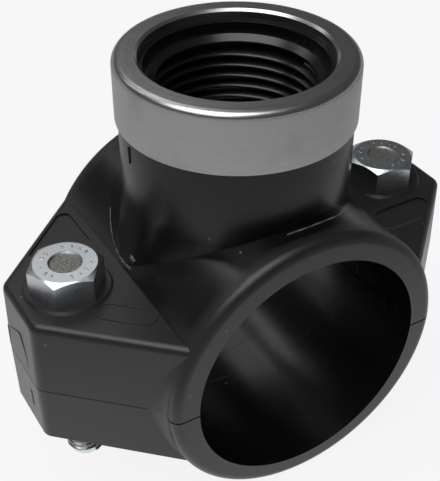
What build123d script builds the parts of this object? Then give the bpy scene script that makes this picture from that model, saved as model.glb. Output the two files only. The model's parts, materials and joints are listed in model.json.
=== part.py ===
from build123d import *
import os
from math import atan, cos, hypot, radians, sin, sqrt, tan

# A two-bolt clamp saddle for 50 mm plastic pipe, with a G1 female branch.
# The origin is where the pipe axis crosses the branch axis.
# +Z runs up the branch, +Y along the pipe, and the two bolts stand on the X axis.
# All lengths are in millimetres and all angles in degrees.

# Saddle shells
pipe_radius = 25.0          # bore of the closed clamp
saddle_length = 58.0        # length along the pipe
upper_wall = 5.5            # shell thickness of the upper half
lower_centre_rise = 1.0     # the lower half's outer arc is struck this far above the pipe axis
rim_round = 2.0             # rounding of the outer edge at both mouths
rim_gap = 0.35              # relief between the two rims, beside the bore

# Lugs that carry the bolts
lug_tip_margin = 11.0       # lug tip, beyond the centre of its bolt, at the parting plane
lug_tip_width = 15.0
lug_root_reach = 25.7       # where the slanted wall would meet the face of the rim
lug_root_setback = 0.7      # the slanted wall stops this far short of that face
lug_corner_round = 3.0      # upright corners at the tip
lug_edge_round = 1.5        # rounded edge along the top
lug_height = 16.0           # top of the upper lug above the parting plane
lower_lug_depth = 13.75     # underside of the lower lug below the parting plane
lower_edge_chamfer = 0.8
parting_chamfer = 0.25      # small break along the lower half's upper edge
draft = 1.0                 # mould draft of the upright walls
web_width = 3.2             # concave web between slanted wall and shell, at the parting plane
web_height = 12.5           # the web runs out this far from the parting plane
web_end_width = 0.3
web_sink = 0.8              # depth of the web's buried back
web_edge_sink = 0.04        # depth at which its thin edges dip under the wall and the shell
web_steps = 4               # sections that the web is drawn through, less one

# Shallow recesses in the top of the lugs, at opposite corners
recess_land = 1.7
recess_depth = 0.4
recess_round = 1.6

# Notch in the left tip of the lower lug
notch_place = -2.6          # along the pipe
notch_width = 1.4
notch_depth = 0.6
notch_top = 4.0             # below the parting plane
notch_length = 4.2

# Cored pockets under the lower lugs
core_wall = 2.5
core_depth = 9.0
core_round = 1.2

# Bolts and nuts, M8
bolt_spacing = 75.0
bolt_diameter = 8.0
bolt_length = 45.0
bolt_thread_length = 22.0
bolt_core_radius = 3.3      # bottom of the thread
bolt_end_chamfer = 0.4
bolt_hole_clearance = 0.5   # radial, in both halves
hex_across_flats = 13.0
head_height = 5.3
hex_chamfer = 30.0          # slope of the chamfer that rounds a hexagon's face
head_dish_radius = 3.3
head_dish_depth = 0.4
head_face_share = 0.95      # width of the round face across the flats
left_head_turn = -10.0      # how each head came to rest
right_head_turn = -14.0
nut_height = 6.5
nut_thread_clearance = 0.05 # radial, between the bolt's core and the nut's bore
nut_pocket_clearance = 0.15
nut_recess = 0.3            # the nut lies this far inside the underside of the lug
pad_radius = 8.8            # round land under each head
pad_height = 0.5

# Branch
boss_radius = 22.6
boss_top = 55.0
flare_radius = 25.4         # the boss widens to this at its root
flare_top = 27.5
flare_bottom = 17.0
thread_radius = 16.62       # major radius of the G1 thread
thread_top = 51.7
thread_length = 21.0
mouth_radius = 17.5         # plain step above the thread
passage_radius = 13.0       # waterway into the pipe

# Stainless ring pressed over the boss
ring_radius = 23.2
ring_thickness = 1.0
ring_bottom = 43.9
ring_corner_round = 1.5
ring_mouth_chamfer = 0.5
ring_opening_radius = 18.4
ring_lip_depth = 2.3
ring_fit = 0.05

# Rubber seal round the waterway
seal_inner_radius = 15.0
seal_outer_radius = 19.5
seal_height = 3.0
seal_fit = 0.1

# Worked out from the sizes above
half_length = saddle_length / 2
rim_round_start = half_length - rim_round
upper_radius = pipe_radius + upper_wall
lower_radius = hypot(upper_radius, lower_centre_rise)
lug_reach = bolt_spacing / 2 + lug_tip_margin
lug_tip_half = lug_tip_width / 2
lug_slope = (half_length - lug_tip_half) / (lug_reach - lug_root_reach)
lug_root_y = half_length - lug_root_setback
lug_root_x = lug_reach - (lug_root_y - lug_tip_half) / lug_slope
bolt_radius = bolt_diameter / 2
bolt_hole_radius = bolt_radius + bolt_hole_clearance
bolt_x = bolt_spacing / 2
bolt_places = [(-bolt_x, 0), (bolt_x, 0)]
head_seat = lug_height + pad_height
hex_corner_radius = hex_across_flats / sqrt(3)
hex_face_radius = head_face_share * hex_across_flats / 2
pocket_corner_radius = hex_corner_radius + nut_pocket_clearance
nut_bottom = nut_recess - lower_lug_depth
nut_top = nut_bottom + nut_height
ring_inner_radius = ring_radius - ring_thickness
ring_seat_radius = ring_inner_radius - ring_fit
ring_top = boss_top + ring_thickness
lip_radius = ring_opening_radius + ring_thickness
lip_bottom = ring_top - ring_lip_depth
thread_bottom = thread_top - thread_length
seal_face_radius = pipe_radius + seal_fit
seal_back_radius = pipe_radius + seal_height

wall_angle = atan(lug_slope)
shell_reach_at_top = sqrt(upper_radius ** 2 - lug_height ** 2)
recess_near_x = shell_reach_at_top + recess_land
recess_near_y = pad_radius + recess_land
recess_slant_drop = recess_land / cos(wall_angle)
recess_far_x = lug_reach - (recess_near_y + recess_slant_drop - lug_tip_half) / lug_slope
recess_far_y = lug_tip_half + lug_slope * (lug_reach - recess_near_x) - recess_slant_drop

core_near_x = upper_radius + core_wall / 2
core_near_y = pocket_corner_radius + core_wall
core_slant_drop = core_wall / cos(wall_angle)
core_far_x = lug_reach - (core_near_y + core_slant_drop - lug_tip_half) / lug_slope
core_far_y = lug_tip_half + lug_slope * (lug_reach - core_near_x) - core_slant_drop

lug_outline = [
    (lug_reach, -lug_tip_half),
    (lug_reach, lug_tip_half),
    (lug_root_x, lug_root_y),
    (-lug_root_x, lug_root_y),
    (-lug_reach, lug_tip_half),
    (-lug_reach, -lug_tip_half),
    (-lug_root_x, -lug_root_y),
    (lug_root_x, -lug_root_y),
]

core_outline = [
    (core_near_x, core_near_y),
    (core_far_x, core_near_y),
    (core_near_x, core_far_y),
]

recess_outline = [
    (recess_near_x, -recess_near_y),
    (recess_far_x, -recess_near_y),
    (recess_near_x, -recess_far_y),
]


def at_reach(corner, reach):
    return abs(abs(corner.X) - reach) < 0.01


os.makedirs("parts", exist_ok=True)


# ---- rubber seal: a flat ring bent to the pipe, in a groove round the waterway ----

with BuildPart() as branch_seal:
    with BuildSketch(Plane.XY):
        Circle(seal_outer_radius)
        Circle(seal_inner_radius, mode=Mode.SUBTRACT)
    extrude(amount=seal_back_radius)
    with BuildSketch(Plane.XZ):
        Circle(seal_back_radius)
        Circle(seal_face_radius, mode=Mode.SUBTRACT)
    extrude(amount=half_length, both=True, mode=Mode.INTERSECT)

with BuildPart() as seal_groove:
    with BuildSketch(Plane.XY):
        Circle(seal_outer_radius + seal_fit)
        Circle(seal_inner_radius - seal_fit, mode=Mode.SUBTRACT)
    extrude(amount=seal_back_radius + seal_fit)
    with BuildSketch(Plane.XZ):
        Circle(seal_back_radius + seal_fit)
    extrude(amount=half_length, both=True, mode=Mode.INTERSECT)


# ---- concave webs where the slanted walls run into the shell ----

def make_webs(shell_radius, centre_rise, side):
    """Four webs, lofted through plan sections from the parting plane up (side 1) or down (-1)."""
    along_wall = Vector(cos(wall_angle), -sin(wall_angle))
    into_lug = Vector(-sin(wall_angle), -cos(wall_angle))
    into_shell = Vector(-1, 0)
    with BuildPart() as webs:
        for step in range(web_steps + 1):
            height = web_height * step / web_steps
            width = web_width + (web_end_width - web_width) * step / web_steps
            shell_x = sqrt(shell_radius ** 2 - (height + centre_rise) ** 2)
            wall_y = lug_tip_half + lug_slope * (lug_reach - shell_x) - height * tan(radians(draft))
            rim_y = max(rim_round_start, wall_y + web_end_width)
            corner = Vector(shell_x, wall_y)
            on_wall = corner + along_wall * width + into_lug * web_edge_sink
            on_shell = Vector(shell_x, rim_y) + into_shell * web_edge_sink
            buried = corner + (into_shell + into_lug) * web_sink
            with BuildSketch(Plane.XY.offset(side * height)):
                with BuildLine():
                    Bezier(on_wall, corner, on_shell)
                    Polyline(
                        on_shell,
                        on_shell + into_shell * web_sink,
                        buried,
                        on_wall + into_lug * web_sink,
                        on_wall,
                    )
                make_face()
        loft()
        mirror(about=Plane.XZ)
        mirror(about=Plane.YZ)
    return webs


upper_webs = make_webs(upper_radius, 0, 1)
lower_webs = make_webs(lower_radius, lower_centre_rise, -1)


# ---- upper half: shell, lugs and branch moulded as one ----

with BuildPart() as upper_saddle:
    # both lugs, drawn in upwards from the parting plane
    with BuildSketch(Plane.XY):
        with BuildLine():
            Polyline(lug_outline, close=True)
        make_face()
        tip_corners = vertices().filter_by(lambda v: at_reach(v, lug_reach))
        fillet(tip_corners, radius=lug_corner_round)
    extrude(amount=lug_height, taper=draft)
    fillet(faces().sort_by(Axis.Z)[-1].edges(), radius=lug_edge_round)

    # the half shell, with both mouths rounded, turned about the pipe axis
    with BuildSketch(Plane.XY):
        with Locations((upper_radius / 2, 0)):
            Rectangle(upper_radius, saddle_length)
        fillet(vertices().group_by(Axis.X)[-1], radius=rim_round)
    revolve(axis=Axis.Y, revolution_arc=-180)
    add(upper_webs.part)

    # the branch, flared at its root
    with BuildSketch(Plane.XZ):
        with BuildLine():
            Polyline(
                (flare_radius, flare_bottom),
                (flare_radius, 0),
                (0, 0),
                (0, boss_top),
                (ring_seat_radius - ring_corner_round / 2, boss_top),
                (ring_seat_radius, boss_top - ring_corner_round / 2),
                (ring_seat_radius, ring_bottom),
                (boss_radius, ring_bottom),
                (boss_radius, flare_top),
            )
            TangentArc((boss_radius, flare_top), (flare_radius, flare_bottom), tangent=(0, -1))
        make_face()
    revolve(axis=Axis.Z)

    # round lands under the bolt heads
    with BuildSketch(Plane.XY.offset(lug_height)):
        with Locations(bolt_places):
            Circle(pad_radius)
    extrude(amount=pad_height, taper=45)

    # shallow recesses, right front and left back
    with BuildSketch(Plane.XY.offset(lug_height)):
        with PolarLocations(0, 2):
            Polygon(*recess_outline, align=None)
        fillet(vertices(), radius=recess_round)
    extrude(amount=-recess_depth, mode=Mode.SUBTRACT)

    # pipe bore
    with BuildSketch(Plane.XZ):
        Circle(pipe_radius)
    extrude(amount=half_length, both=True, mode=Mode.SUBTRACT)

    # groove for the seal
    add(seal_groove.part, mode=Mode.SUBTRACT)

    # branch bore: waterway, thread, and a plain mouth that takes the lip of the ring
    with BuildSketch(Plane.XZ):
        with BuildLine():
            Polyline(
                (0, 0),
                (passage_radius, 0),
                (passage_radius, thread_bottom),
                (thread_radius, thread_bottom),
                (thread_radius, thread_top),
                (mouth_radius, thread_top),
                (mouth_radius, lip_bottom - ring_fit),
                (lip_radius + ring_fit, lip_bottom - ring_fit),
                (lip_radius + ring_fit, boss_top),
                (0, boss_top),
                close=True,
            )
        make_face()
    revolve(axis=Axis.Z, mode=Mode.SUBTRACT)

    # bolt holes
    with BuildSketch(Plane.XY):
        with Locations(bolt_places):
            Circle(bolt_hole_radius)
    extrude(amount=head_seat, mode=Mode.SUBTRACT)

upper_saddle.part.label = "upper_saddle"
branch_seal.part.label = "branch_seal"


# ---- lower half: shell and lugs, with pockets for the nuts ----

downwards = Plane(origin=(0, 0, 0), x_dir=(1, 0, 0), z_dir=(0, 0, -1))
underside = Plane.XY.offset(-lower_lug_depth)

with BuildPart() as lower_saddle:
    # both lugs, drawn in downwards from the parting plane
    with BuildSketch(downwards):
        with BuildLine():
            Polyline(lug_outline, close=True)
        make_face()
        tip_corners = vertices().filter_by(lambda v: at_reach(v, lug_reach))
        fillet(tip_corners, radius=lug_corner_round)
    extrude(amount=lower_lug_depth, taper=draft)
    chamfer(faces().sort_by(Axis.Z)[0].edges(), length=lower_edge_chamfer)
    chamfer(faces().sort_by(Axis.Z)[-1].edges(), length=parting_chamfer)

    # the half shell, thinner at the bottom than beside the parting plane
    with BuildSketch(Plane.XY.offset(lower_centre_rise)):
        with Locations((lower_radius / 2, 0)):
            Rectangle(lower_radius, saddle_length)
        fillet(vertices().group_by(Axis.X)[-1], radius=rim_round)
    revolve(axis=Axis((0, 0, lower_centre_rise), (0, 1, 0)), revolution_arc=180)
    split(bisect_by=Plane.XY, keep=Keep.BOTTOM)
    add(lower_webs.part)

    # pipe bore, and the relief that keeps the rims apart
    with BuildSketch(Plane.XZ):
        Circle(pipe_radius)
        Rectangle(2 * upper_radius, 2 * rim_gap)
    extrude(amount=half_length, both=True, mode=Mode.SUBTRACT)

    # cored pockets either side of each nut
    with BuildSketch(underside):
        with BuildLine():
            Polyline(core_outline, close=True)
        make_face()
        fillet(vertices(), radius=core_round)
        mirror(about=Plane.XZ)
        mirror(about=Plane.YZ)
    extrude(amount=core_depth, mode=Mode.SUBTRACT)

    # nut pockets and bolt holes
    with BuildSketch(underside):
        with Locations(bolt_places):
            RegularPolygon(pocket_corner_radius, side_count=6)
    extrude(amount=nut_top + lower_lug_depth, mode=Mode.SUBTRACT)
    with BuildSketch(underside):
        with Locations(bolt_places):
            Circle(bolt_hole_radius)
    extrude(amount=lower_lug_depth, mode=Mode.SUBTRACT)

    # notch in the left tip
    with BuildSketch(Plane.XY.offset(-notch_top)):
        with BuildLine():
            Polyline(
                (-lug_reach, notch_place - notch_width / 2),
                (notch_depth - lug_reach, notch_place),
                (-lug_reach, notch_place + notch_width / 2),
                close=True,
            )
        make_face()
    extrude(amount=-notch_length, mode=Mode.SUBTRACT)

lower_saddle.part.label = "lower_saddle"


# ---- stainless ring: skirt, flat top and rolled lip ----

with BuildPart() as reinforcing_ring:
    with BuildSketch(Plane.XZ):
        with BuildLine():
            Polyline(
                (ring_inner_radius, ring_bottom),
                (ring_radius, ring_bottom),
                (ring_radius, ring_top),
                (ring_opening_radius, ring_top),
                (ring_opening_radius, lip_bottom),
                (lip_radius, lip_bottom),
                (lip_radius, boss_top),
                (ring_inner_radius, boss_top),
                close=True,
            )
        make_face()
        outer_corner = vertices().filter_by(lambda v: v.X > ring_inner_radius).sort_by(Axis.Y)[-1]
        fillet(outer_corner, radius=ring_corner_round)
        mouth_corner = vertices().group_by(Axis.X)[0].sort_by(Axis.Y)[-1]
        chamfer(mouth_corner, length=ring_mouth_chamfer)
    revolve(axis=Axis.Z)

reinforcing_ring.part.label = "reinforcing_ring"


# ---- hexagon bolts and nuts ----

def hexagon_round(bottom, top, both_faces):
    """Half section of the cone that rounds a hexagon's faces."""
    reach = hex_corner_radius + 1
    drop = (reach - hex_face_radius) * tan(radians(hex_chamfer))
    low = [(hex_face_radius, bottom), (reach, bottom + drop)] if both_faces else [(reach, bottom)]
    return [(0, bottom)] + low + [(reach, top - drop), (hex_face_radius, top), (0, top)]


def make_bolt(place, turn):
    seat = Plane(origin=(place[0], place[1], head_seat))
    section = Plane(origin=(place[0], place[1], 0), x_dir=(1, 0, 0), z_dir=(0, -1, 0))
    centre = Axis((place[0], place[1], 0), (0, 0, 1))
    with BuildPart() as bolt:
        with BuildSketch(seat):
            RegularPolygon(hex_corner_radius, side_count=6, rotation=turn)
        extrude(amount=head_height)
        with BuildSketch(section):
            with BuildLine():
                Polyline(hexagon_round(head_seat, head_seat + head_height, False), close=True)
            make_face()
        revolve(axis=centre, mode=Mode.INTERSECT)
        with BuildSketch(seat.offset(head_height)):
            Circle(head_dish_radius)
        extrude(amount=-head_dish_depth, taper=45, mode=Mode.SUBTRACT)
        with BuildSketch(seat):
            Circle(bolt_radius)
        extrude(amount=bolt_thread_length - bolt_length)
        with BuildSketch(seat):
            Circle(bolt_core_radius)
        extrude(amount=-bolt_length)
        chamfer(faces().sort_by(Axis.Z)[0].edges(), length=bolt_end_chamfer)
    return bolt


def make_nut(place):
    base = Plane(origin=(place[0], place[1], nut_bottom))
    section = Plane(origin=(place[0], place[1], 0), x_dir=(1, 0, 0), z_dir=(0, -1, 0))
    centre = Axis((place[0], place[1], 0), (0, 0, 1))
    with BuildPart() as nut:
        with BuildSketch(base):
            RegularPolygon(hex_corner_radius, side_count=6)
            Circle(bolt_core_radius + nut_thread_clearance, mode=Mode.SUBTRACT)
        extrude(amount=nut_height)
        with BuildSketch(section):
            with BuildLine():
                Polyline(hexagon_round(nut_bottom, nut_top, True), close=True)
            make_face()
        revolve(axis=centre, mode=Mode.INTERSECT)
    return nut


bolt_left = make_bolt(bolt_places[0], left_head_turn)
bolt_left.part.label = "bolt_left"
bolt_right = make_bolt(bolt_places[1], right_head_turn)
bolt_right.part.label = "bolt_right"
nut_left = make_nut(bolt_places[0])
nut_left.part.label = "nut_left"
nut_right = make_nut(bolt_places[1])
nut_right.part.label = "nut_right"


export_step(upper_saddle.part, "parts/upper_saddle.step")
export_step(lower_saddle.part, "parts/lower_saddle.step")
export_step(branch_seal.part, "parts/branch_seal.step")
export_step(reinforcing_ring.part, "parts/reinforcing_ring.step")
export_step(bolt_left.part, "parts/bolt_left.step")
export_step(bolt_right.part, "parts/bolt_right.step")
export_step(nut_left.part, "parts/nut_left.step")
export_step(nut_right.part, "parts/nut_right.step")
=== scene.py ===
import json
import math

import bmesh
import bpy
from mathutils import Matrix, Vector


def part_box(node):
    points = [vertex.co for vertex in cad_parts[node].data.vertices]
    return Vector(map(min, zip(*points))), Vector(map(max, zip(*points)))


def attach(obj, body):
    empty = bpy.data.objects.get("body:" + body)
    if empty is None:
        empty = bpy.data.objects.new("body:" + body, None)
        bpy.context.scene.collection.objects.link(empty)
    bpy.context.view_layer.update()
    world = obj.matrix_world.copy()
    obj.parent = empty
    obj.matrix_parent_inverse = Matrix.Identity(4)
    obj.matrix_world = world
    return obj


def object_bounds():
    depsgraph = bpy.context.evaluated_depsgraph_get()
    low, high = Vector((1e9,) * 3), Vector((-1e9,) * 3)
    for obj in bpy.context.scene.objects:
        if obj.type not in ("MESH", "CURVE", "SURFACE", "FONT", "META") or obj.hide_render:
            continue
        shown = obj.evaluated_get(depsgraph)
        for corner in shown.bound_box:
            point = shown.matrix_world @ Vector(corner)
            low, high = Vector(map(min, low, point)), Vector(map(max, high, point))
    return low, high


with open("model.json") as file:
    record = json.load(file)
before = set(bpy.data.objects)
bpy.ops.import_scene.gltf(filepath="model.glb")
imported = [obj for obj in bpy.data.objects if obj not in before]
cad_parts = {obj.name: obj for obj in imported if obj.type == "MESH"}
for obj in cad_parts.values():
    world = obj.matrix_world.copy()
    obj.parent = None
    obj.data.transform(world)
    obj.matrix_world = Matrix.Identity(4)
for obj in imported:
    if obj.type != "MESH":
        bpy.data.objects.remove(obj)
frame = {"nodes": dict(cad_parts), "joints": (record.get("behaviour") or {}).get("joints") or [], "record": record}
cad_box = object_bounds()

MM = 0.001

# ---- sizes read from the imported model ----

mounts = {mount["name"]: mount for mount in frame["record"]["mounts"]}
thread_mount = mounts["branch_thread"]
thread_radius = thread_mount["dims"]["r_mm"] * MM
thread_length = thread_mount["dims"]["length_mm"] * MM
thread_top = thread_mount["pos_m"][2] + thread_length / 2
bolt_places = {
    joint["child"]: Vector(joint["pos_m"])
    for joint in frame["joints"] if joint["type"] == "hinge"
}
bolt_low, bolt_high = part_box("bolt_left")
lug_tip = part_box("upper_saddle")[1].x
lug_top = 16.0 * MM
shell_radius = 30.5 * MM


# ---- camera ----

def place_camera():
    """The camera stands to the left of the front mouth and looks down on the saddle."""
    azimuth = math.radians(-30.5)
    elevation = math.radians(37.06)
    distance = 205.6 * MM
    target = Vector((-4.46, -1.45, 15.18)) * MM
    back = Vector((
        math.sin(azimuth) * math.cos(elevation),
        -math.cos(azimuth) * math.cos(elevation),
        math.sin(elevation),
    ))
    data = bpy.data.cameras.new("camera")
    data.lens = 75.17
    data.sensor_width = 36.0
    data.clip_start = 0.01
    data.clip_end = 20.0
    camera = bpy.data.objects.new("camera", data)
    bpy.context.scene.collection.objects.link(camera)
    camera.location = target + back * distance
    camera.rotation_mode = "QUATERNION"
    camera.rotation_quaternion = (-back).to_track_quat("-Z", "Y")
    bpy.context.scene.camera = camera


# ---- shader maths ----

class Value:
    """A shader socket that takes part in arithmetic."""

    def __init__(self, shader, socket):
        self.shader = shader
        self.socket = socket

    def maths(self, operation, *inputs):
        node = self.shader.node("ShaderNodeMath", {"operation": operation}, dict(enumerate(inputs)))
        return node["Value"]

    def __add__(self, other):
        return self.maths("ADD", self, other)

    def __radd__(self, other):
        return self.maths("ADD", other, self)

    def __sub__(self, other):
        return self.maths("SUBTRACT", self, other)

    def __rsub__(self, other):
        return self.maths("SUBTRACT", other, self)

    def __mul__(self, other):
        return self.maths("MULTIPLY", self, other)

    def __rmul__(self, other):
        return self.maths("MULTIPLY", other, self)

    def __pow__(self, other):
        return self.maths("POWER", self, other)

    def __lt__(self, other):
        return self.maths("LESS_THAN", self, other)

    def __gt__(self, other):
        return self.maths("GREATER_THAN", self, other)


class Outputs:
    """The outputs of one shader node, by name."""

    def __init__(self, shader, node):
        self.shader = shader
        self.node = node

    def __getitem__(self, name):
        return Value(self.shader, self.node.outputs[name])


class Shader:
    """A node tree that nodes are added to through one method."""

    def __init__(self, tree):
        self.tree = tree

    def node(self, kind, settings=None, sockets=None):
        """Adds a node, gives it its settings, then sets or links its sockets."""
        made = self.tree.nodes.new(kind)
        for name, setting in (settings or {}).items():
            if name == "stops":
                self.set_stops(made.color_ramp, setting)
            else:
                setattr(made, name, setting)
        for name, value in (sockets or {}).items():
            if isinstance(value, Value):
                self.tree.links.new(value.socket, made.inputs[name])
            else:
                made.inputs[name].default_value = value
        return Outputs(self, made)

    @staticmethod
    def set_stops(ramp, stops):
        while len(ramp.elements) < len(stops):
            ramp.elements.new(1.0)
        for element, (place, grey) in zip(ramp.elements, stops):
            element.position = place
            element.color = (grey, grey, grey, 1.0)

    def coordinates(self):
        return self.node("ShaderNodeTexCoord")["Object"]

    def mapped(self, vector, scale=(1, 1, 1), location=(0, 0, 0), rotation=(0, 0, 0)):
        return self.node("ShaderNodeMapping", None, {
            "Vector": vector, "Scale": scale, "Location": location, "Rotation": rotation,
        })["Vector"]

    def noise(self, vector, scale, detail=3.0, roughness=0.5):
        return self.node("ShaderNodeTexNoise", None, {
            "Vector": vector, "Scale": scale, "Detail": detail, "Roughness": roughness,
        })["Fac"]

    def ramp(self, value, *stops):
        return self.node("ShaderNodeValToRGB", {"stops": stops}, {"Fac": value})["Color"]

    def mix(self, factor, first, second):
        """Mixes two colours."""
        outputs = self.node("ShaderNodeMix", {"data_type": "RGBA"}, {
            0: factor, 6: first, 7: second,
        })
        return Value(self, outputs.node.outputs[2])

    def parts(self, vector):
        outputs = self.node("ShaderNodeSeparateXYZ", None, {"Vector": vector})
        return outputs["X"], outputs["Y"], outputs["Z"]

    def vector(self, x, y, z):
        return self.node("ShaderNodeCombineXYZ", None, {"X": x, "Y": y, "Z": z})["Vector"]

    def bump(self, height, distance, strength=1.0, normal=None):
        sockets = {"Height": height, "Distance": distance, "Strength": strength}
        if normal:
            sockets["Normal"] = normal
        return self.node("ShaderNodeBump", None, sockets)["Normal"]


def surface(name, constants, build):
    """A Principled material. build gives the sockets that change over the surface."""
    material = bpy.data.materials.new(name)
    material.use_nodes = True
    shader = Shader(material.node_tree)
    principled = material.node_tree.nodes["Principled BSDF"]
    for socket, value in constants.items():
        principled.inputs[socket].default_value = value
    for socket, value in build(shader).items():
        shader.tree.links.new(value.socket, principled.inputs[socket])
    return material


# ---- materials ----

def moulded_plastic():
    """Black moulding: polished barrel and boss, satin lugs and rims, hairline scuffs and dust."""
    def build(s):
        place = s.coordinates()
        x, y, z = s.parts(place)
        from_pipe = (x * x + z * z) ** 0.5
        from_branch = (x * x + y * y) ** 0.5
        along = (y * y) ** 0.5
        bore = s.ramp(from_pipe * 20, (0.503, 1), (0.506, 0))
        barrel = s.ramp(from_pipe * 20, (0.608, 1), (0.618, 0)) * s.ramp(along * 20, (0.49, 1), (0.53, 0))
        boss = s.ramp(from_branch * 20, (0.508, 1), (0.52, 0)) * (z > 16 * MM)
        polish = 1 - (1 - bore) * (1 - barrel) * (1 - boss)
        cloud = s.noise(place, 70, 4, 0.6)
        grain = s.noise(place, 2200, 2, 0.6)
        swell = s.noise(place, 260, 3, 0.5)
        long_way = s.mapped(place, (30, 900, 300), (0, 0, 0), (0.2, 0.5, 0.8))
        scuffs = s.ramp(s.noise(long_way, 1, 2), (0.64, 0), (0.72, 1))
        patches = s.ramp(s.noise(place, 25, 2), (0.48, 0), (0.62, 1))
        worn = scuffs * patches
        cell = s.node("ShaderNodeTexVoronoi", None, {"Vector": place, "Scale": 260.0, "Randomness": 1.0})
        specks = (cell["Distance"] < 0.09) * (s.parts(cell["Color"])[0] > 0.93)
        satin = s.mix(cloud, (0.0125, 0.0118, 0.0122, 1), (0.0200, 0.0190, 0.0196, 1))
        gloss = s.mix(cloud, (0.0035, 0.0030, 0.0032, 1), (0.0060, 0.0054, 0.0056, 1))
        colour = s.mix(polish, satin, gloss)
        colour = s.mix(worn * 0.30, colour, (0.06, 0.058, 0.058, 1))
        colour = s.mix(specks * 0.5, colour, (0.16, 0.155, 0.15, 1))
        roughness = 0.34 - polish * 0.13 + cloud * 0.10 + worn * 0.14
        normal = s.bump(swell, 0.00004, 0.30)
        normal = s.bump(grain, 0.000015, 0.30, normal)
        return {"Base Color": colour, "Roughness": roughness, "Normal": normal}
    return surface("moulded_plastic", {"Specular IOR Level": 0.5}, build)


def stainless():
    """Drawn stainless steel, brushed round the ring."""
    def build(s):
        place = s.coordinates()
        x, y, z = s.parts(place)
        turn = s.node("ShaderNodeMath", {"operation": "ARCTAN2"}, {0: y, 1: x})["Value"]
        reach = (x * x + y * y) ** 0.5
        round_brush = s.vector(turn * 1.2, reach * 5200, z * 5200)
        brush = s.noise(round_brush, 1, 3, 0.7)
        cloud = s.noise(place, 90, 3, 0.6)
        colour = s.mix(brush, (0.45, 0.44, 0.455, 1), (0.54, 0.53, 0.545, 1))
        colour = s.mix(s.ramp(cloud, (0.5, 0), (0.7, 0.35)), colour, (0.34, 0.33, 0.33, 1))
        roughness = 0.20 + brush * 0.12 + cloud * 0.06
        normal = s.bump(brush, 0.00002, 0.25)
        return {"Base Color": colour, "Roughness": roughness, "Normal": normal}
    return surface("brushed_stainless", {"Metallic": 1.0}, build)


def zinc_plate(centre):
    """Bright zinc plate, rough and stained in the dished middle of the head."""
    def build(s):
        place = s.coordinates()
        x, y, z = s.parts(s.mapped(place, (1, 1, 1), (-centre.x, -centre.y, 0)))
        reach = (x * x + y * y) ** 0.5
        dish = s.ramp(reach * 100, (0.30, 1), (0.35, 0))
        on_top = z > bolt_high.z - 0.9 * MM
        spot = s.noise(place, 700, 4, 0.7)
        fine = s.noise(place, 3000, 3, 0.7)
        cast = dish * on_top
        stain = s.mix(s.ramp(fine, (0.35, 0), (0.65, 1)), (0.13, 0.12, 0.10, 1), (0.46, 0.46, 0.44, 1))
        colour = s.mix(spot, (0.55, 0.59, 0.62, 1), (0.76, 0.80, 0.83, 1))
        colour = s.mix(cast, colour, stain)
        roughness = 0.22 + spot * 0.16 + cast * 0.25
        height = spot * 0.5 + fine * (0.25 + cast * 1.6)
        normal = s.bump(height, 0.00005, 0.5)
        return {"Base Color": colour, "Roughness": roughness, "Normal": normal}
    return surface("zinc_plate", {"Metallic": 1.0}, build)


def flash_painted_highlight():
    """Torn edge of the black moulding, with a pale colour along its crest that is a painted highlight."""
    def build(s):
        place = s.coordinates()
        torn_and_highlight = s.noise(place, 900, 3, 0.6)
        # the pale grey mixed in along the noise is a painted highlight on the bead, not a colour of the plastic
        colour = s.mix(s.ramp(torn_and_highlight, (0.35, 0), (0.65, 1)), (0.03, 0.03, 0.03, 1), (0.22, 0.22, 0.21, 1))
        return {"Base Color": colour, "Roughness": 0.42 + torn_and_highlight * 0.2, "Normal": s.bump(torn_and_highlight, 0.00004, 0.5)}
    return surface("flash_painted_highlight", {"Specular IOR Level": 0.5}, build)


def seal_rubber():
    """Matt black rubber with a faint bloom."""
    def build(s):
        place = s.coordinates()
        bloom = s.noise(place, 180, 4, 0.6)
        grain = s.noise(place, 3000, 2, 0.5)
        colour = s.mix(bloom, (0.010, 0.010, 0.010, 1), (0.020, 0.020, 0.021, 1))
        roughness = 0.62 + bloom * 0.2
        return {"Base Color": colour, "Roughness": roughness, "Normal": s.bump(grain, 0.00002, 0.4)}
    return surface("seal_rubber", {"Specular IOR Level": 0.35}, build)


def give(node, material):
    slots = frame["nodes"][node].data.materials
    slots.clear()
    slots.append(material)


# ---- making pieces ----

SHARP = math.radians(32)
SQUARE = 1.0


def close_piece(bm, name, material, body):
    """Turns a finished bmesh into a piece that rides on a body."""
    bmesh.ops.remove_doubles(bm, verts=bm.verts, dist=1e-7)
    bmesh.ops.recalc_face_normals(bm, faces=bm.faces)
    mesh = bpy.data.meshes.new(name)
    bm.to_mesh(mesh)
    bm.free()
    for face in mesh.polygons:
        face.use_smooth = True
    mesh.set_sharp_from_angle(angle=SHARP)
    mesh.materials.append(material)
    piece = bpy.data.objects.new(name, mesh)
    bpy.context.scene.collection.objects.link(piece)
    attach(piece, body)


def corners_of(parts):
    return [part for part in parts if isinstance(part, bmesh.types.BMVert)]


def edges_of(parts):
    return [part for part in parts if isinstance(part, bmesh.types.BMEdge)]


def turn_about_z(bm, corners, degrees):
    turn = Matrix.Rotation(math.radians(degrees), 3, "Z")
    bmesh.ops.rotate(bm, verts=corners, matrix=turn, cent=(0, 0, 0))


def soften(bm, edges, offset):
    """Rounds edges over with a small bevel."""
    bmesh.ops.bevel(bm, geom=edges, offset=offset, affect="EDGES", segments=2, profile=0.5, material=-1)


def section_loop(bm, points):
    """A closed loop of edges in the XZ plane, from (reach, height) pairs."""
    corners = [bm.verts.new((reach, 0, height)) for reach, height in points]
    edges = [bm.edges.new((a, b)) for a, b in zip(corners, corners[1:] + corners[:1])]
    return corners + edges


BRANCH_PITCH = 2.309 * MM
BRANCH_RIDGE = 1.479 * MM
LEAD_DEPTH = 1.15 * MM
BRANCH_STEPS_A_TURN = 120


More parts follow.
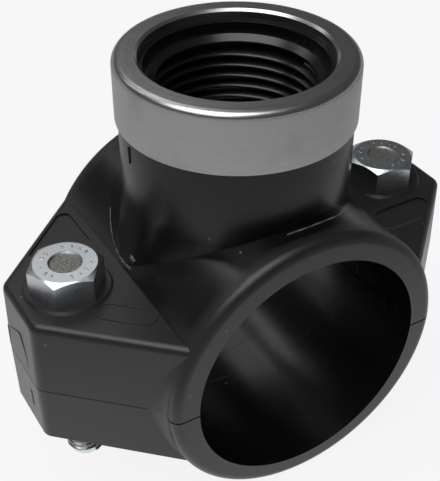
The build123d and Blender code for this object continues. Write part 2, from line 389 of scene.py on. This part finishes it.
def ridge_section(wall, crest, pitch, start):
    """Section of one thread ridge with a rounded crest, set a hair into the wall."""
    depth = crest - wall
    shares = [(-0.03, 0.47), (0.12, 0.42), (0.80, 0.14), (0.94, 0.08), (1.0, 0.0)]
    side = [(wall + depth * deep, start - pitch * wide) for deep, wide in shares]
    other = [(wall + depth * deep, start + pitch * wide) for deep, wide in reversed(shares[:-1])]
    return side + other


def make_helix(bm, section, pitch, turns, steps_a_turn):
    """Sweeps a section down a helix about Z and closes its two ends."""
    first = section_loop(bm, section)
    swept = bmesh.ops.spin(
        bm, geom=first, cent=(0, 0, 0), axis=(0, 0, 1), dvec=(0, 0, -pitch / steps_a_turn),
        angle=-2 * math.pi * turns, steps=int(turns * steps_a_turn),
    )
    bmesh.ops.contextual_create(bm, geom=edges_of(first))
    bmesh.ops.contextual_create(bm, geom=edges_of(swept["geom_last"]))


def make_branch_thread(material):
    """The G1 thread inside the branch, with a chamfered lead-in."""
    crest = thread_radius - BRANCH_RIDGE
    lead_bottom = thread_top - LEAD_DEPTH
    turns = (thread_length - LEAD_DEPTH - BRANCH_PITCH) / BRANCH_PITCH
    bm = bmesh.new()
    section = ridge_section(thread_radius, crest, BRANCH_PITCH, lead_bottom - BRANCH_PITCH * 0.5)
    make_helix(bm, section, BRANCH_PITCH, turns, BRANCH_STEPS_A_TURN)
    close_piece(bm, "branch_thread", material, "upper")

    bm = bmesh.new()
    hidden = thread_radius + 0.04 * MM
    lead = section_loop(bm, [
        (hidden, thread_top),
        (thread_radius - 0.1 * MM, thread_top),
        (crest + 0.05 * MM, lead_bottom + 0.1 * MM),
        (crest, lead_bottom - 0.1 * MM),
        (crest + 0.25 * MM, lead_bottom - 0.35 * MM),
        (hidden, lead_bottom - 1.0 * MM),
    ])
    bmesh.ops.spin(
        bm, geom=lead, cent=(0, 0, 0), axis=(0, 0, 1), dvec=(0, 0, 0),
        angle=2 * math.pi, steps=BRANCH_STEPS_A_TURN, use_merge=True,
    )
    close_piece(bm, "thread_lead_in", material, "upper")


BOLT_PITCH = 1.25 * MM
BOLT_CORE = 3.3 * MM
BOLT_CREST = 4.0 * MM
BOLT_THREAD_START = -6.6 * MM
BOLT_STEPS_A_TURN = 40


def make_bolt_thread(side, material):
    """The M8 ridge on the lower end of a bolt."""
    place = bolt_places[side + "_bolt"]
    top = BOLT_THREAD_START - BOLT_PITCH * 0.5
    turns = (top - bolt_low.z - BOLT_PITCH * 0.8) / BOLT_PITCH
    bm = bmesh.new()
    section = ridge_section(BOLT_CORE, BOLT_CREST, BOLT_PITCH, top)
    make_helix(bm, section, BOLT_PITCH, turns, BOLT_STEPS_A_TURN)
    bmesh.ops.translate(bm, verts=bm.verts, vec=(place.x, place.y, 0))
    close_piece(bm, "thread_" + side, material, side + "_bolt")


MARK_REACH = 4.75 * MM
MARK_HEIGHT = 0.13 * MM
MARK_WIDTH = 0.42

# angle round the head in degrees, and length in millimetres
HEAD_MARKS = (
    (12, 1.0), (30, 0.45), (52, 1.0), (74, 0.7), (118, 1.0), (136, 1.0), (170, 0.45),
    (196, 1.0), (214, 0.7), (262, 1.0), (284, 0.45), (302, 1.0), (330, 0.7),
)


def make_head_marks(side, material):
    """A ring of plain raised bars and dots on the top of a bolt's head."""
    place = bolt_places[side + "_bolt"]
    bm = bmesh.new()
    for angle, length in HEAD_MARKS:
        bar = bmesh.ops.create_cube(bm, size=MM)["verts"]
        bmesh.ops.scale(bm, verts=bar, vec=(length, MARK_WIDTH, 2 * MARK_HEIGHT / MM))
        bmesh.ops.translate(bm, verts=bar, vec=(MARK_REACH, 0, 0))
        turn_about_z(bm, bar, angle)
    soften(bm, list(bm.edges), 0.08 * MM)
    bmesh.ops.translate(bm, verts=bm.verts, vec=(place.x, place.y, bolt_high.z))
    close_piece(bm, "head_marks_" + side, material, side + "_bolt")


def raise_outline(bm, face, width, height):
    """Turns a flat face into a raised band that follows its edge."""
    band = bmesh.ops.inset_region(bm, faces=[face], thickness=width, use_boundary=True)["faces"]
    bmesh.ops.delete(bm, geom=[face], context="FACES")
    raised = bmesh.ops.extrude_face_region(bm, geom=band, use_keep_orig=True)["geom"]
    top = corners_of(raised)
    bmesh.ops.translate(bm, verts=top, vec=(0, 0, height))
    upper_edges = [edge for edge in bm.edges if all(vert in top for vert in edge.verts)]
    rim = [edge for edge in upper_edges if edge.calc_face_angle() > SQUARE]
    soften(bm, rim, min(width, height) * 0.3)


LINE_SINK = 0.06 * MM
LINE_HEIGHT = 0.24 * MM
LINE_WIDTH = 0.34 * MM


LUG_WALL_TURN = -43.3   # the outline lies along the lug's slanted wall
HALF_STEP = 4.5         # turns the circle so that no corner falls on its middle line


def make_lug_outline(material):
    """The thin long outline raised on the front land of the left lug."""
    end_radius = 2.35 * MM
    half_run = 3.6 * MM
    bm = bmesh.new()
    bmesh.ops.create_circle(bm, cap_ends=True, segments=40, radius=end_radius)
    turn_about_z(bm, bm.verts, HALF_STEP)
    for vert in bm.verts:
        vert.co.x += math.copysign(half_run, vert.co.x)
    raise_outline(bm, bm.faces[:][0], LINE_WIDTH, LINE_HEIGHT)
    turn_about_z(bm, bm.verts, LUG_WALL_TURN)
    bmesh.ops.translate(bm, verts=bm.verts, vec=(-31.4 * MM, -13.2 * MM, lug_top - LINE_SINK))
    close_piece(bm, "lug_outline", material, "upper")


# how far along the pipe and how far above the parting plane, in millimetres
TIP_OUTLINE = (
    (6.9, 0.7), (6.9, 5.7), (3.6, 7.3), (0.3, 9.0), (-0.4, 9.1), (-1.1, 8.5), (-2.9, 4.7), (-2.9, 0.7),
)


def make_tip_outline(material):
    """The bare outline raised on the left tip of the upper lug, above the parting."""
    bm = bmesh.new()
    corners = [bm.verts.new((-along * MM, up * MM, 0)) for along, up in TIP_OUTLINE]
    face = bmesh.ops.contextual_create(bm, geom=corners)["faces"][0]
    raise_outline(bm, face, LINE_WIDTH, LINE_HEIGHT)
    face_outwards = Matrix(((0, 0, -1), (-1, 0, 0), (0, 1, 0)))
    bmesh.ops.rotate(bm, verts=bm.verts, matrix=face_outwards, cent=(0, 0, 0))
    bmesh.ops.translate(bm, verts=bm.verts, vec=(-lug_tip + LINE_HEIGHT + 0.002 * MM, 0, 0))
    close_piece(bm, "tip_outline", material, "upper")


def make_boss_mark(material):
    """One plain upright bar raised on the side of the boss, under the ring."""
    bm = bmesh.new()
    bmesh.ops.create_cube(bm, size=MM)
    bmesh.ops.scale(bm, verts=bm.verts, vec=(0.5, 0.5, 3.4))
    soften(bm, list(bm.edges), 0.1 * MM)
    bmesh.ops.translate(bm, verts=bm.verts, vec=(-22.62 * MM, 0, 40.4 * MM))
    turn_about_z(bm, bm.verts, -1.5)
    close_piece(bm, "boss_mark", material, "upper")


FLASH_HALF_WIDTH = 0.16 * MM


def sweep_flash(bm, reach, start, end):
    """Sweeps a thin bead round the branch axis, from one angle to another."""
    section = section_loop(bm, [
        (reach - FLASH_HALF_WIDTH, -0.3 * MM),
        (reach - FLASH_HALF_WIDTH * 0.5, 0.22 * MM),
        (reach + FLASH_HALF_WIDTH * 0.5, 0.18 * MM),
        (reach + FLASH_HALF_WIDTH, -0.5 * MM),
    ])
    turn_about_z(bm, corners_of(section), start)
    swept = bmesh.ops.spin(
        bm, geom=section, cent=(0, 0, 0), axis=(0, 0, 1), dvec=(0, 0, 0),
        angle=math.radians(end - start), steps=48,
    )
    bmesh.ops.contextual_create(bm, geom=edges_of(section))
    bmesh.ops.contextual_create(bm, geom=edges_of(swept["geom_last"]))


def make_flash_lines(material):
    """Thin lines of moulding flash where the root of the boss meets the shell, and one nick; their pale colour is
    a painted highlight.
    """
    bm = bmesh.new()
    sweep_flash(bm, 25.45 * MM, 150, 186)
    sweep_flash(bm, 23.75 * MM, 262, 302)
    for vert in bm.verts:
        vert.co.z += math.sqrt(max(shell_radius ** 2 - vert.co.x ** 2, 0.0))
    nick = bmesh.ops.create_cube(bm, size=MM)["verts"]
    bmesh.ops.scale(bm, verts=nick, vec=(0.35, 1.7, 1.1))
    bmesh.ops.rotate(bm, verts=nick, matrix=Matrix.Rotation(math.radians(14), 3, "X"), cent=(0, 0, 0))
    bmesh.ops.translate(bm, verts=nick, vec=(-24.5 * MM, -2.0 * MM, 18.5 * MM))
    close_piece(bm, "flash_lines", material, "upper")


# ---- studio ----

FLOOR_TO_EYE = 0.88
NEAR_FLOOR = 85 * MM
FAR_FLOOR = 118 * MM


def make_floor():
    """A pale table under the lower shell, white to the eye and whitest round the saddle."""
    bm = bmesh.new()
    bmesh.ops.create_grid(bm, x_segments=1, y_segments=1, size=3.0)
    bmesh.ops.translate(bm, verts=bm.verts, vec=(0, 0, cad_box[0].z - 0.02 * MM))
    mesh = bpy.data.meshes.new("floor")
    bm.to_mesh(mesh)
    bm.free()
    material = bpy.data.materials.new("floor")
    material.use_nodes = True
    s = Shader(material.node_tree)
    principled = s.tree.nodes["Principled BSDF"]
    principled.inputs["Base Color"].default_value = (0.54, 0.54, 0.54, 1)
    principled.inputs["Roughness"].default_value = 0.9
    principled.inputs["Specular IOR Level"].default_value = 0.0
    x, y, z = s.parts(s.coordinates())
    near = s.ramp((x * x + y * y) ** 0.5, (NEAR_FLOOR, 1), (FAR_FLOOR, 0.0))
    path = s.node("ShaderNodeLightPath")
    mirrored = path["Is Glossy Ray"] + path["Is Transmission Ray"]
    share = path["Is Camera Ray"] * FLOOR_TO_EYE + mirrored * near
    white = s.node("ShaderNodeEmission", None, {"Color": (1, 1, 1, 1), "Strength": 1.0})["Emission"]
    lit = Outputs(s, principled)["BSDF"]
    both = s.node("ShaderNodeMixShader", None, {0: share, 1: lit, 2: white})["Shader"]
    s.tree.links.new(both.socket, s.tree.nodes["Material Output"].inputs["Surface"])
    mesh.materials.append(material)
    floor = bpy.data.objects.new("floor", mesh)
    bpy.context.scene.collection.objects.link(floor)
    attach(floor, "lower")  # the lower half stands on it, also when the saddle is opened


LIT_CENTRE = Vector((0, 0, 20)) * MM


def make_softbox(name, towards, distance, size, radiance):
    """A soft lamp facing the saddle. radiance is the brightness of its face."""
    data = bpy.data.lights.new(name, "AREA")
    data.shape = "RECTANGLE"
    data.size, data.size_y = size
    data.energy = 4.0 * radiance * size[0] * size[1]
    lamp = bpy.data.objects.new(name, data)
    bpy.context.scene.collection.objects.link(lamp)
    lamp.location = LIT_CENTRE + Vector(towards).normalized() * distance
    lamp.rotation_mode = "QUATERNION"
    lamp.rotation_quaternion = (LIT_CENTRE - lamp.location).to_track_quat("-Z", "Y")


def light_studio():
    """White round the horizon, a dim room above it, a large lamp overhead and three behind."""
    world = bpy.data.worlds.new("studio")
    bpy.context.scene.world = world
    world.use_nodes = True
    s = Shader(world.node_tree)
    s.tree.nodes.clear()
    height = s.parts(s.node("ShaderNodeTexCoord")["Generated"])[2]
    room = s.ramp(height, (0.02, 1), (0.10, 0.07))
    path = s.node("ShaderNodeLightPath")
    shown = s.mix(path["Is Camera Ray"], room, (1, 1, 1, 1))
    seen = path["Is Camera Ray"] + path["Is Glossy Ray"] + path["Is Transmission Ray"]
    background = s.node("ShaderNodeBackground", None, {"Color": shown, "Strength": 1.0})["Background"]
    glow = s.node("ShaderNodeBackground", None, {"Color": (1, 1, 1, 1), "Strength": 0.2})["Background"]
    both = s.node("ShaderNodeMixShader", None, {0: seen, 1: glow, 2: background})["Shader"]
    s.node("ShaderNodeOutputWorld", None, {"Surface": both})
    make_softbox("overhead", (-0.33, -0.10, 0.94), 0.70, (0.60, 0.60), 2.6)
    make_softbox("back_left", (-0.33, 0.63, 0.70), 0.80, (0.08, 0.36), 2.6)
    make_softbox("back_middle", (-0.04, 0.64, 0.77), 0.80, (0.08, 0.26), 1.8)
    make_softbox("back_right", (0.20, 0.66, 0.72), 0.80, (0.24, 0.24), 1.0)


# ---- the saddle ----

place_camera()
plastic = moulded_plastic()
give("upper_saddle", plastic)
give("lower_saddle", plastic)
give("reinforcing_ring", stainless())
give("branch_seal", seal_rubber())
for side in ("left", "right"):
    zinc = zinc_plate(bolt_places[side + "_bolt"])
    give("bolt_" + side, zinc)
    give("nut_" + side, zinc)
    make_bolt_thread(side, zinc)
    make_head_marks(side, zinc)
make_branch_thread(plastic)
make_lug_outline(plastic)
make_tip_outline(plastic)
make_boss_mark(plastic)
# the flash lines and the nick get a pale painted highlight as their colour
make_flash_lines(flash_painted_highlight())
make_floor()
light_studio()

bpy.context.scene.view_settings.view_transform = "Standard"
